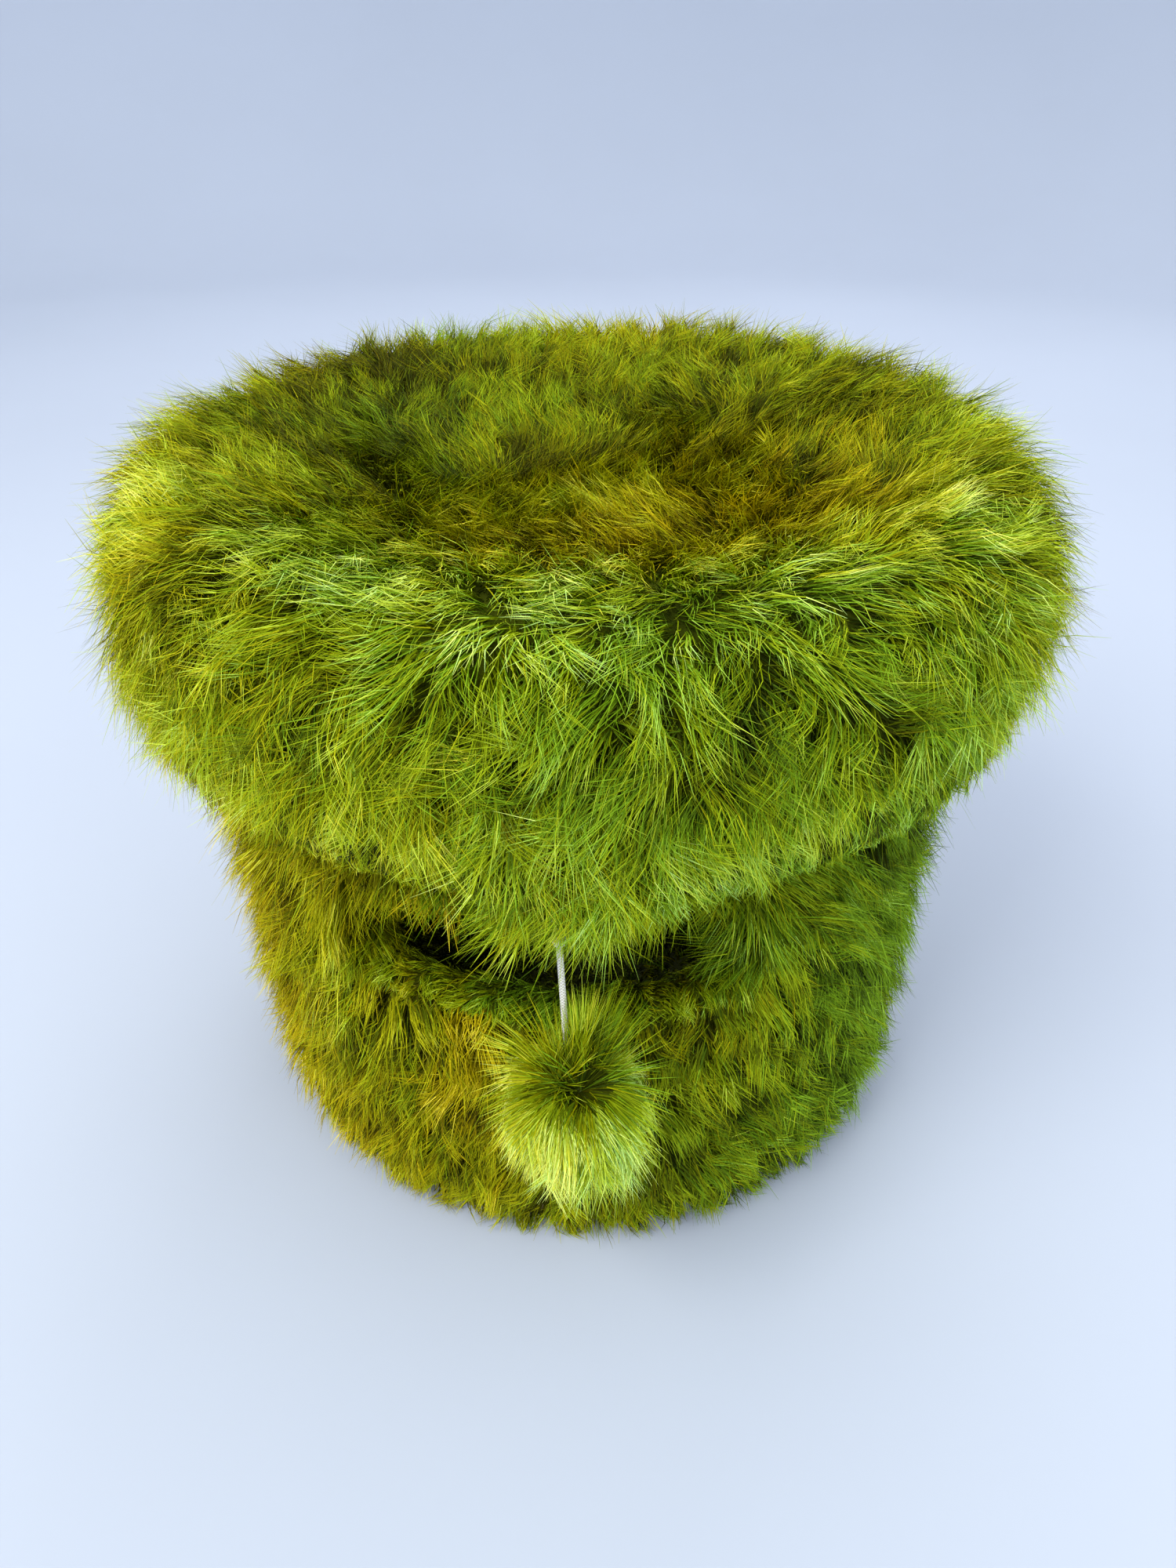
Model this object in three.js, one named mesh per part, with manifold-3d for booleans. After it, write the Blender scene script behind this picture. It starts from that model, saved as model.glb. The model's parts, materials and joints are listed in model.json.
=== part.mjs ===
// A fur-covered den stool for a small cat: a padded round seat bolted on a cardboard drum, a doorway high
// in the drum's front, and a fur pompom that hangs on a cord in front of the doorway.
// Millimetres, +Z up. The origin is on the floor under the drum's axis, and the doorway faces -Y.
import * as THREE from "three";
import { mergeVertices } from "three/addons/utils/BufferGeometryUtils.js";
import Module from "manifold-3d";

const wasm = await Module();
wasm.setup();

// ---- Driving dimensions ----
const gap = 0.3; // between pieces that touch
const roundSides = 36; // sides of the large round pieces
const smallSides = 8; // sides of screws, bolts and the cord's knots

const drumRadius = 142;
const drumWall = 4;
const boardThickness = 12;
const drumHeight = 208;
const footHeight = 4;
const footRadius = 14;
const footRing = 105; // radius of the circle that the feet stand on
const hemThickness = 2.7; // fur fabric turned in under the drum
const liningThickness = 3;
const ceilingFelt = 1.5;

const doorWidth = 156;
const doorHeight = 64;
const doorCorner = 28;
const doorSill = 137; // height of the sill above the floor
const bindingThickness = 2.5;

const platformRadius = 176;
const platformThickness = 15;
const platformGap = 4; // between the drum's ceiling and the platform, filled by the turned-in fur
const foamRadius = 117.5;
const foamHeight = 54.6;
const bolsterRing = { radius: 148, halfWidth: 30, halfHeight: 37, lift: 35.4 };
const seatFurRadius = 195; // the seat's fur, half pressed
const seatTop = 322;
const seatHemRadius = 150;
const seatHemThickness = 4;
const paddingGap = 0.8; // between the padding and the fur cover over it

const eyeX = 9; // the toy hangs a little to one side of the doorway
const eyeY = -168;
const eyeRing = { radius: 5, wire: 1.3, drop: 15.7 };
const pompomCentre = new THREE.Vector3(15, -184, 128);
const pompomRadius = 28;
const pompomCore = 12;
const cordRadius = 1.2;
const loopRadius = 4.5;

const boltRing = 100;
const boltRadius = 2.9;
const stapleRing = 162;
const stapleCount = 8;

// ---- Levels up the axis ----
const baseBottom = footHeight + 1 + 2 * gap;
const baseTop = baseBottom + boardThickness;
const drumTop = baseBottom + drumHeight;
const ceilingBottom = drumTop - boardThickness;
const platformBottom = drumTop + platformGap;
const platformTop = platformBottom + platformThickness;
const cushionBottom = baseTop + gap;
const feltBottom = ceilingBottom - gap - ceilingFelt;
const innerRadius = drumRadius - drumWall - gap; // what fits inside the drum
const hemTop = platformBottom - gap;
const seatHemBottom = hemTop - seatHemThickness - gap;

// ---- Materials ----
const material = (color, roughness, metalness = 0) =>
  new THREE.MeshStandardMaterial({ color, roughness, metalness });
const fur = material(0x7c8b22, 1);
const lining = material(0x3d4a14, 1);
const cardboard = material(0x9a7b55, 0.9);
const board = material(0xb08a5a, 0.75);
const foam = material(0xe8e2c8, 0.95);
const wadding = material(0xf0efe8, 1);
const cloth = material(0x2b2c2a, 0.95);
const rubber = material(0x1f1f1f, 0.8);
const zinc = material(0xb9bcc0, 0.35, 1);
const elastic = material(0xf1efe4, 0.7);
const yarn = material(0x59641f, 1);

// ---- Shape helpers ----
const at = (r, z) => new THREE.Vector2(r, z);

// A profile of (radius, height) points turned about the vertical axis. It ends on the axis or closes on
// itself, and is listed so that its faces point outwards whichever way round it was drawn.
function turned(profile, sides = roundSides) {
  const points = THREE.ShapeUtils.area(profile) < 0 ? [...profile].reverse() : [...profile];
  const open = points.findIndex((p, i) => p.x === 0 && points[(i + 1) % points.length].x === 0);
  const fromAxis = [...points.slice(open + 1), ...points.slice(0, open + 1)];
  const ordered = open < 0 ? [...points, points[0]] : fromAxis;
  const geometry = new THREE.LatheGeometry(ordered, sides);
  geometry.rotateX(Math.PI / 2);
  return geometry;
}

const disc = (radius, low, high, sides) =>
  turned([at(0, low), at(radius, low), at(radius, high), at(0, high)], sides);

// A ball round the origin, as a half circle turned from pole to pole.
function ballOf(radius, rings, sides) {
  const profile = arc(at(0, 0), radius, radius, -90, 90, rings);
  profile[0].x = 0;
  profile[rings].x = 0;
  return turned(profile, sides);
}

const tube = (inner, outer, low, high, sides) =>
  turned([at(inner, low), at(outer, low), at(outer, high), at(inner, high)], sides);

// Points on an arc of an ellipse, from one angle to another in degrees.
function arc(centre, halfWidth, halfHeight, from, to, steps) {
  return Array.from({ length: steps + 1 }, (_, i) => {
    const angle = THREE.MathUtils.degToRad(from + ((to - from) * i) / steps);
    return at(centre.x + halfWidth * Math.cos(angle), centre.y + halfHeight * Math.sin(angle));
  });
}

// Positions round a circle, the first one turned by an offset in degrees.
function around(count, radius, offset) {
  return Array.from({ length: count }, (_, i) => {
    const angle = THREE.MathUtils.degToRad(offset + (360 * i) / count);
    return { x: radius * Math.cos(angle), y: radius * Math.sin(angle), angle };
  });
}

function solidOf(geometry) {
  const bare = geometry.clone();
  bare.deleteAttribute("normal");
  bare.deleteAttribute("uv");
  const merged = mergeVertices(bare, 1e-3);
  return new wasm.Manifold(
    new wasm.Mesh({
      numProp: 3,
      vertProperties: merged.attributes.position.array,
      triVerts: new Uint32Array(merged.index.array),
    }),
  );
}

function geometryOf(solid) {
  const mesh = solid.getMesh();
  const geometry = new THREE.BufferGeometry();
  geometry.setAttribute("position", new THREE.BufferAttribute(mesh.vertProperties, 3));
  geometry.setIndex(new THREE.BufferAttribute(mesh.triVerts, 1));
  geometry.computeVertexNormals();
  return geometry;
}

const cut = (geometry, tools) =>
  geometryOf(tools.reduce((left, tool) => left.subtract(solidOf(tool)), solidOf(geometry)));

const joined = (geometries) =>
  geometryOf(geometries.map(solidOf).reduce((sum, piece) => sum.add(piece)));

const model = new THREE.Group();

function add(name, geometry, finish, parent = model) {
  const mesh = new THREE.Mesh(geometry, finish);
  mesh.name = name;
  parent.add(mesh);
  return mesh;
}

// Vertical holes of one radius at several places.
const holes = (places, radius, low, high) =>
  places.map((place) => disc(radius, low, high, smallSides).translate(place.x, place.y, 0));

// ---- Doorway: a wide opening with round corners, cut straight through towards -Y ----
function doorOutline(shrink) {
  const halfWidth = doorWidth / 2 - shrink;
  const low = doorSill + shrink;
  const high = doorSill + doorHeight - shrink;
  const radius = doorCorner - shrink;
  const shape = new THREE.Shape();
  shape.absarc(halfWidth - radius, high - radius, radius, 0, Math.PI / 2);
  shape.absarc(radius - halfWidth, high - radius, radius, Math.PI / 2, Math.PI);
  shape.absarc(radius - halfWidth, low + radius, radius, Math.PI, 1.5 * Math.PI);
  shape.absarc(halfWidth - radius, low + radius, radius, 1.5 * Math.PI, 2 * Math.PI);
  return shape;
}

function doorPlug(shrink) {
  const depth = drumRadius;
  const options = { depth, bevelEnabled: false, curveSegments: 3 };
  const plug = new THREE.ExtrudeGeometry(doorOutline(shrink), options);
  plug.rotateX(Math.PI / 2);
  plug.translate(0, -drumRadius / 3, 0);
  return plug;
}

// ---- Screws: a countersunk head at the origin, the point towards -Z ----
const screwHead = 3.6;
const screwShank = 1.7;
const wallScrewLength = 24;
const screwSink = 1; // how far each head sits inside the drum's round face

const screw = (clearance) =>
  turned(
    [
      at(0, clearance ? 4 : 0),
      at(screwHead + clearance, clearance ? 4 : 0),
      at(screwHead + clearance, -clearance / 2),
      at(screwShank + clearance, -2.4),
      at(screwShank + clearance, 2 - wallScrewLength - clearance),
      at(0, -wallScrewLength - clearance),
    ],
    smallSides,
  );

// A screw's shape driven radially through the drum's wall.
function radialScrew(place, height, clearance) {
  const shape = screw(clearance);
  shape.rotateY(Math.PI / 2);
  shape.rotateZ(place.angle);
  const reach = drumRadius - screwSink;
  shape.translate(reach * Math.cos(place.angle), reach * Math.sin(place.angle), height);
  return shape;
}

const screwPlaces = around(4, 1, 45);
const baseScrewHeight = baseBottom + boardThickness / 2;
const ceilingScrewHeight = ceilingBottom + boardThickness / 2;
const screwHoles = (height) => screwPlaces.map((place) => radialScrew(place, height, gap));

// ---- Feet and the base ----
const feet = around(4, footRing, 45);
const footScrewTop = baseTop - 2;

const footShape = turned(
  [
    at(4.2, 0),
    at(footRadius - 1.5, 0),
    at(footRadius, 1.5),
    at(footRadius, footHeight),
    at(screwShank + gap, footHeight),
    at(screwShank + gap, 2.2),
    at(4.2, 2.2),
  ],
  20,
);

const footScrewShape = turned(
  [
    at(0, 0.7),
    at(3.8, 0.9),
    at(3.8, 1.9),
    at(screwShank, 1.9),
    at(screwShank, footScrewTop - 2),
    at(0, footScrewTop),
  ],
  smallSides,
);

feet.forEach((place, i) => {
  add(`foot_${i + 1}`, footShape, rubber).position.set(place.x, place.y, 0);
  add(`foot_screw_${i + 1}`, footScrewShape, zinc).position.set(place.x, place.y, 0);
});

const footHoles = (low, high) => holes(feet, screwShank + gap, low, high);
const hemInner = 122;
add(
  "dust_cover",
  cut(disc(hemInner - gap, footHeight + gap, baseBottom - gap), footHoles(0, baseTop)),
  cloth,
);
add(
  "base_board",
  cut(disc(innerRadius, baseBottom, baseTop), [
    ...footHoles(0, footScrewTop + gap),
    ...screwHoles(baseScrewHeight),
  ]),
  board,
);

// ---- Drum ----
add(
  "drum_wall",
  cut(tube(drumRadius - drumWall, drumRadius, baseBottom, drumTop), [
    doorPlug(0),
    ...screwHoles(baseScrewHeight),
    ...screwHoles(ceilingScrewHeight),
  ]),
  cardboard,
);

const liningOuter = innerRadius;
const liningInner = liningOuter - liningThickness;
add(
  "drum_lining",
  cut(tube(liningInner, liningOuter, cushionBottom, feltBottom - gap), [doorPlug(0)]),
  lining,
);

const bindingShell = solidOf(tube(liningInner, drumRadius, baseBottom, drumTop));
const bindingRing = solidOf(doorPlug(gap)).subtract(solidOf(doorPlug(gap + bindingThickness)));
add("doorway_binding", geometryOf(bindingRing.intersect(bindingShell)), lining);

const boltPlaces = around(4, boltRing, 45);
add(
  "ceiling_board",
  cut(disc(innerRadius, ceilingBottom, drumTop), [
    ...holes(boltPlaces, boltRadius + gap, ceilingBottom - 1, drumTop + 1),
    ...screwHoles(ceilingScrewHeight),
  ]),
  board,
);
add(
  "ceiling_felt",
  cut(disc(liningInner - gap, feltBottom, feltBottom + ceilingFelt), [
    ...holes(boltPlaces, boltRadius + gap, feltBottom - 1, ceilingBottom),
  ]),
  lining,
);

screwPlaces.forEach((place, i) => {
  add(`base_screw_${i + 1}`, radialScrew(place, baseScrewHeight, 0), zinc);
  add(`ceiling_screw_${i + 1}`, radialScrew(place, ceilingScrewHeight, 0), zinc);
});

// ---- Den cushion: a flat round pad with a crowned top and soft edges ----
const cushionRadius = 129;
const cushionHeight = 32;
const cushionEdge = arc(at(cushionRadius - 14, cushionBottom + 14), 14, 14, -90, 60, 4);
add(
  "den_cushion",
  turned([
    at(0, cushionBottom),
    ...cushionEdge,
    at(70, cushionBottom + cushionHeight - 2),
    at(0, cushionBottom + cushionHeight),
  ]),
  lining,
);

// ---- The drum's fur cover: a sleeve turned in over the ceiling board and under the base board ----
const sleeveOuter = [
  at(146, baseBottom - gap - hemThickness),
  at(152, 9),
  at(153.5, 60),
  at(154.5, 128),
  at(157, 170),
  at(158, 196),
  at(155, 208),
  at(148, 212),
];
const sleeveTop = [at(148, hemTop), at(120, hemTop), at(120, drumTop + gap)];
const sleeveInner = drumRadius + gap;
add(
  "drum_fur_cover",
  cut(
    turned([
      ...sleeveOuter,
      ...sleeveTop,
      at(sleeveInner, drumTop + gap),
      at(sleeveInner, baseBottom - gap),
      at(hemInner, baseBottom - gap),
      at(hemInner, baseBottom - gap - hemThickness),
    ]),
    [doorPlug(0)],
  ),
  fur,
);

// ---- Platform and its bolts ----
const teeFlange = 10;
const teeBarrel = 4.2;
const teeDepth = 11;
const eyeHoleTop = platformTop - 1.6;
const eyeShank = 1.5;
const eyeHole = disc(eyeShank + gap, drumTop - 8, eyeHoleTop, smallSides).translate(eyeX, eyeY, 0);

const stapleCrown = { length: 10, wire: 0.8, leg: 9 };
const staplePlaces = around(stapleCount, stapleRing, 22.5);

// A staple: a crown across the hem's radius and two legs up into the platform.
function staple(place, clearance) {
  const wire = stapleCrown.wire + 2 * clearance;
  const crown = new THREE.BoxGeometry(stapleCrown.length + 2 * clearance, wire, wire);
  const legs = [-1, 1].map((side) => {
    const leg = new THREE.BoxGeometry(wire, wire, stapleCrown.leg + clearance);
    const inset = (stapleCrown.length - stapleCrown.wire) / 2;
    return leg.translate(side * inset, 0, (stapleCrown.leg + clearance) / 2);
  });
  const shape = joined([crown, ...legs]);
  shape.rotateZ(place.angle + Math.PI / 2);
  shape.translate(place.x, place.y, seatHemBottom - gap - stapleCrown.wire / 2);
  return shape;
}

const stapleSlots = staplePlaces.map((place) => staple(place, gap));

add(
  "platform_board",
  cut(disc(platformRadius, platformBottom, platformTop), [
    ...holes(boltPlaces, teeBarrel + gap, platformBottom - 1, platformTop + 1),
    ...holes(boltPlaces, teeFlange + gap, platformTop - 1.5, platformTop + 1),
    ...stapleSlots,
    eyeHole,
  ]),
  board,
);

const boltHeadTop = feltBottom - 1.2 - 2 * gap;
const boltShape = joined([
  disc(5.5, boltHeadTop - 4, boltHeadTop, 6),
  disc(boltRadius, boltHeadTop - 1, platformTop - 3, smallSides),
]);
const washerShape = tube(boltRadius + gap, 8, boltHeadTop + gap, boltHeadTop + gap + 1.2, smallSides);
const teeNutShape = turned(
  [
    at(boltRadius + gap, platformTop - teeDepth),
    at(teeBarrel, platformTop - teeDepth),
    at(teeBarrel, platformTop - 1.2),
    at(teeFlange, platformTop - 1.2),
    at(teeFlange, platformTop),
    at(boltRadius + gap, platformTop),
  ],
  smallSides,
);

boltPlaces.forEach((place, i) => {
  add(`platform_bolt_${i + 1}`, boltShape, zinc).position.set(place.x, place.y, 0);
  add(`washer_${i + 1}`, washerShape, zinc).position.set(place.x, place.y, 0);
  add(`tee_nut_${i + 1}`, teeNutShape, zinc).position.set(place.x, place.y, 0);
});

// ---- Seat padding: a foam disc inside a stuffed ring ----
const paddingBottom = platformTop + gap;
const foamTop = paddingBottom + foamHeight;
add(
  "seat_foam",
  turned([
    at(0, paddingBottom),
    at(foamRadius, paddingBottom),
    at(foamRadius, foamTop - 4),
    at(foamRadius - 12, foamTop),
    at(0, foamTop),
  ]),
  foam,
);

const bolsterCentre = at(bolsterRing.radius, platformTop + bolsterRing.lift);
const bolsterProfile = arc(bolsterCentre, bolsterRing.halfWidth, bolsterRing.halfHeight, -70, 250, 11);
add("bolster_ring", turned(bolsterProfile), wadding);

// ---- The seat's fur cover: over the padding, down the side and turned in under the platform ----
const seatInside = arc(
  bolsterCentre,
  bolsterRing.halfWidth + paddingGap,
  bolsterRing.halfHeight + paddingGap,
  -4,
  143,
  7,
);
const seatOutside = [
  at(0, 302),
  at(60, 304),
  at(104, 313),
  at(132, 320),
  at(152, seatTop),
  at(170, 318),
  at(184, 305),
  at(192, 285),
  at(seatFurRadius, 258),
  at(193, 234),
  at(186, 219),
  at(176, seatHemBottom),
  at(seatHemRadius, seatHemBottom),
];
add(
  "seat_fur_cover",
  cut(
    turned([
      ...seatOutside,
      at(seatHemRadius, hemTop),
      at(platformRadius + 2.5, hemTop),
      ...seatInside,
      at(110, foamTop + 2),
      at(0, foamTop + 1),
    ]),
    [...stapleSlots, eyeHole],
  ),
  fur,
);

staplePlaces.forEach((place, i) => add(`cover_staple_${i + 1}`, staple(place, 0), zinc));

// ---- The toy's eye: a wire ring facing the doorway on a shank screwed up into the platform ----
const eyeCentre = new THREE.Vector3(eyeX, eyeY, platformBottom - eyeRing.drop + eyeRing.radius);
const eyeWire = new THREE.TorusGeometry(eyeRing.radius, eyeRing.wire, 6, 16);
eyeWire.rotateX(Math.PI / 2);
eyeWire.translate(eyeCentre.x, eyeCentre.y, eyeCentre.z);
const shankBottom = eyeCentre.z + eyeRing.radius - 0.4;
const shank = disc(eyeShank, shankBottom, eyeHoleTop - 1, smallSides).translate(eyeX, eyeY, 0);
add("eye_screw", joined([eyeWire, shank]), zinc);

// ---- Toy: everything hangs in a group whose -Z runs down the cord from the eye's lowest wire ----
const pivot = eyeCentre.clone().setZ(eyeCentre.z - eyeRing.radius);
const hang = pompomCentre.clone().sub(pivot);
const pompomDrop = hang.length();
const toy = new THREE.Group();
toy.position.copy(pivot);
toy.quaternion.setFromUnitVectors(new THREE.Vector3(0, 0, -1), hang.clone().normalize());
model.add(toy);

const loopDrop = loopRadius - cordRadius - eyeRing.wire - gap;
const loop = new THREE.TorusGeometry(loopRadius, cordRadius, 6, 16);
loop.rotateY(Math.PI / 2);
loop.translate(0, 0, -loopDrop);
add("cord_loop", loop, elastic, toy);

const knotTop = -loopDrop - loopRadius - cordRadius - gap;
const knotLength = 5;
const knot = (top, length, radius) => {
  const profile = arc(at(0, top - length / 2), radius, length / 2, -68, 68, 4);
  return turned([at(0, profile[0].y), ...profile, at(0, profile[4].y)], 8);
};
add("cord_knot", knot(knotTop, knotLength, 2.3), elastic, toy);

const cordTop = knotTop - knotLength - gap;
const cordBottom = -pompomDrop - pompomCore - 1;
const cordSection = new THREE.Shape().absarc(0, 0, cordRadius, 0, 2 * Math.PI);
const cordEnds = [cordTop, cordBottom].map((z) => new THREE.Vector3(0, 0, z));
const cordRoute = new THREE.LineCurve3(...cordEnds);
add(
  "toy_cord",
  new THREE.ExtrudeGeometry(cordSection, { steps: 12, curveSegments: 4, extrudePath: cordRoute }),
  elastic,
  toy,
);
add("stop_knot", knot(cordBottom - gap, 5, 2.6), elastic, toy);

// The pompom is drawn round its own centre, which hangs on the cord.
const cordBore = disc(cordRadius + gap, -2 * pompomRadius, 2 * pompomRadius, smallSides);
const knotBore = disc(3.4, -2 * pompomRadius, -pompomCore, smallSides);
const core = cut(ballOf(pompomCore, 6, 12), [cordBore]);
const furBall = cut(ballOf(pompomRadius, 10, 20), [ballOf(pompomCore + gap, 6, 12), cordBore, knotBore]);
add("pompom_core", core, yarn, toy).position.z = -pompomDrop;
add("pompom_fur", furBall, fur, toy).position.z = -pompomDrop;

export default model;
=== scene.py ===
import json
import math

import bmesh
import bpy
from mathutils import Matrix, Vector, noise


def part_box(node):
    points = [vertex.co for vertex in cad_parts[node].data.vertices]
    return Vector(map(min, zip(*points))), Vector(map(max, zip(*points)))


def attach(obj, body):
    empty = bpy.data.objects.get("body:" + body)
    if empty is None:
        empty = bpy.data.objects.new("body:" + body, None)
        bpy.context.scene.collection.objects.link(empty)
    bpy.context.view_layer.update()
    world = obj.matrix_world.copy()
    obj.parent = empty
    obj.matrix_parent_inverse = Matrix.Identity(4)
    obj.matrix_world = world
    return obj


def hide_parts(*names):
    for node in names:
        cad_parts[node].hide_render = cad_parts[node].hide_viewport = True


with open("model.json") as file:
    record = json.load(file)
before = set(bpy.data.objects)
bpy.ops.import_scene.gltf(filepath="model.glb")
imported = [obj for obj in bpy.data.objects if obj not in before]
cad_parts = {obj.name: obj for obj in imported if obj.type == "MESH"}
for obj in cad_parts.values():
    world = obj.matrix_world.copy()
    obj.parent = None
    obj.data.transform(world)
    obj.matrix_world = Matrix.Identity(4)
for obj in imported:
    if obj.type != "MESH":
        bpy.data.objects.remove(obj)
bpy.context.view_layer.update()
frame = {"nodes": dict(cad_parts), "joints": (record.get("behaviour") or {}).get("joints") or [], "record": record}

noise.seed_set(11)  # noise_vector takes its start from the clock otherwise

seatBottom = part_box("seat_fur_cover")[0].z
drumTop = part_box("drum_wall")[1].z
ringLow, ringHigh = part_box("bolster_ring")
boardLow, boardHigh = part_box("platform_board")
cushionLow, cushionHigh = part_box("den_cushion")
bindingLow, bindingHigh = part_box("doorway_binding")
joints = {joint["name"]: joint for joint in frame["joints"]}
pivot = Vector(joints["toy_swing_out"]["pos_m"])
pompomCentre = Vector(joints["pompom_twist"]["pos_m"])
hangWay = (pompomCentre - pivot).normalized()


def smooth(low, high, value):
    share = max(0.0, min(1.0, (value - low) / (high - low)))
    return share * share * (3 - 2 * share)


def mix(a, b, share):
    return a + (b - a) * share


def evenSteps(line, steps):
    # the same line with its points evenly spaced
    lengths = [0.0]
    for a, b in zip(line, line[1:]):
        lengths.append(lengths[-1] + (b - a).length)
    points, at = [], 0
    for i in range(steps + 1):
        want = lengths[-1] * i / steps
        while at < len(line) - 2 and lengths[at + 1] < want:
            at += 1
        run = lengths[at + 1] - lengths[at]
        points.append(line[at].lerp(line[at + 1], (want - lengths[at]) / run if run else 0))
    return points


def throughPoints(points, steps):
    # a smooth line through the points, evenly cut into steps
    padded = [points[0]] + list(points) + [points[-1]]
    dense = []
    for i in range(len(points) - 1):
        p0, p1, p2, p3 = (Vector(p) for p in padded[i:i + 4])
        for k in range(12):
            t = k / 12
            dense.append(0.5 * (2 * p1 + (p2 - p0) * t + (2 * p0 - 5 * p1 + 4 * p2 - p3) * t * t
                                + (3 * p1 - p0 - 3 * p2 + p3) * t ** 3))
    dense.append(Vector(points[-1]))
    return evenSteps(dense, steps)


def addPiece(name, mesh, materials=()):
    piece = bpy.data.objects.new(name, mesh)
    bpy.context.scene.collection.objects.link(piece)
    for material in materials:
        mesh.materials.append(material)
    return piece


def thicken(piece, thickness):
    shell = piece.modifiers.new("thick", "SOLIDIFY")
    shell.thickness = thickness
    shell.offset = -1


def smoothFaces(mesh):
    mesh.polygons.foreach_set("use_smooth", [True] * len(mesh.polygons))
    mesh.update()


def revolve(name, line, around, close=False):
    # turns a line of (radius, height) round the upright axis, faces outwards if it is drawn downwards
    mesh = bpy.data.meshes.new(name)
    verts, faces, rows = [], [], []
    for r, z in ((p[0], p[1]) for p in line):
        if r < 1e-6:
            rows.append([len(verts)])
            verts.append((0, 0, z))
            continue
        rows.append(list(range(len(verts), len(verts) + around)))
        for k in range(around):
            angle = 2 * math.pi * k / around
            verts.append((r * math.cos(angle), r * math.sin(angle), z))
    pairs = list(zip(rows, rows[1:])) + ([(rows[-1], rows[0])] if close else [])
    for upper, lower in pairs:
        for k in range(around):
            j = (k + 1) % around
            if len(upper) == 1 and len(lower) > 1:
                faces.append((upper[0], lower[k], lower[j]))
            elif len(lower) == 1 and len(upper) > 1:
                faces.append((upper[k], lower[0], upper[j]))
            elif len(upper) > 1:
                faces.append((upper[k], lower[k], lower[j], upper[j]))
    mesh.from_pydata(verts, [], faces)
    smoothFaces(mesh)
    return mesh


def tubeAlong(name, points, radius, sides, closed=False):
    # a round tube with a UV map: U runs round it, V runs along it in metres
    mesh = bpy.data.meshes.new(name)
    count = len(points)
    verts, faces, coords = [], [], []
    along = [0.0]
    for a, b in zip(points, points[1:] + points[:1]):
        along.append(along[-1] + (b - a).length)
    side = None
    for i, point in enumerate(points):
        before = points[i - 1] if i or closed else point
        after = points[(i + 1) % count] if i < count - 1 or closed else point
        way = (after - before).normalized()
        if side is None:
            side = way.orthogonal().normalized()
        side = (side - way * side.dot(way)).normalized()
        other = way.cross(side)
        for k in range(sides):
            angle = 2 * math.pi * k / sides
            verts.append(point + radius * (math.cos(angle) * side + math.sin(angle) * other))
    for i in range(count if closed else count - 1):
        j = (i + 1) % count
        for k in range(sides):
            m = (k + 1) % sides
            faces.append((i * sides + k, i * sides + m, j * sides + m, j * sides + k))
            u0, u1 = k / sides, (k + 1) / sides
            coords += [(u0, along[i]), (u1, along[i]), (u1, along[i + 1]), (u0, along[i + 1])]
    if not closed:
        faces += [tuple(range(sides))[::-1], tuple(range((count - 1) * sides, count * sides))]
        coords += [(0.5, 0)] * (2 * sides)
    mesh.from_pydata(verts, [], faces)
    layer = mesh.uv_layers.new(name="along")
    layer.data.foreach_set("uv", [value for pair in coords for value in pair])
    smoothFaces(mesh)
    return mesh


cameraSetup = {
    "azimuth": 6.0,  # degrees towards +X from straight in front
    "distance": 0.478,  # from the stool's axis, along the floor
    "height": 0.458,
    "downward": 33.3,
    "sideways": 0.002,
    "lens": 27.0,
}


def placeCamera(setup):
    data = bpy.data.cameras.new("camera")
    data.lens = setup["lens"]
    data.sensor_width = 36
    data.clip_start = 0.02
    camera = bpy.data.objects.new("camera", data)
    bpy.context.scene.collection.objects.link(camera)
    turn = math.radians(setup["azimuth"])
    right = Vector((math.cos(turn), math.sin(turn), 0))
    back = Vector((math.sin(turn), -math.cos(turn), 0))
    camera.location = back * setup["distance"] + right * setup["sideways"] + Vector((0, 0, setup["height"]))
    camera.rotation_euler = (math.radians(90 - setup["downward"]), 0, turn)
    bpy.context.scene.camera = camera


placeCamera(cameraSetup)
print("camera placed")


def addNode(tree, kind, values=(), **settings):
    # a node with its settings, then its live inputs in order, each a number or another node's socket
    made = tree.nodes.new(kind)
    for key, value in settings.items():
        setattr(made, key, value)
    live = [socket for socket in made.inputs if socket.enabled]
    for socket, value in zip(live, values):
        if isinstance(value, bpy.types.NodeSocket):
            tree.links.new(value, socket)
        elif value is not None:
            socket.default_value = value
    return made


def output(made, label=None):
    live = [socket for socket in made.outputs if socket.enabled]
    return live[0] if label is None else next(socket for socket in live if socket.name == label)


def linear(red, green, blue):
    # a colour given from 0 to 255, as the shader takes it
    def one(value):
        value /= 255
        return value / 12.92 if value <= 0.04045 else ((value + 0.055) / 1.055) ** 2.4
    return (one(red), one(green), one(blue), 1)


def newSurface(name, **numbers):
    material = bpy.data.materials.new(name)
    material.use_nodes = True
    shader = material.node_tree.nodes["Principled BSDF"]
    for label, value in numbers.items():
        shader.inputs[label.replace("_", " ").title().replace("Ior", "IOR")].default_value = value
    return material, material.node_tree, shader


def addNoise(tree, place, scale, detail):
    return addNode(tree, "ShaderNodeTexNoise", [place, scale, detail]).outputs["Fac"]


def addRamp(tree, shader, source, dark, light, low, high):
    ramp = tree.nodes.new("ShaderNodeValToRGB")
    for stop, colour, place in zip(ramp.color_ramp.elements, (dark, light), (low, high)):
        stop.color = linear(*colour)
        stop.position = place
    tree.links.new(source, ramp.inputs["Fac"])
    tree.links.new(ramp.outputs["Color"], shader.inputs["Base Color"])


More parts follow.
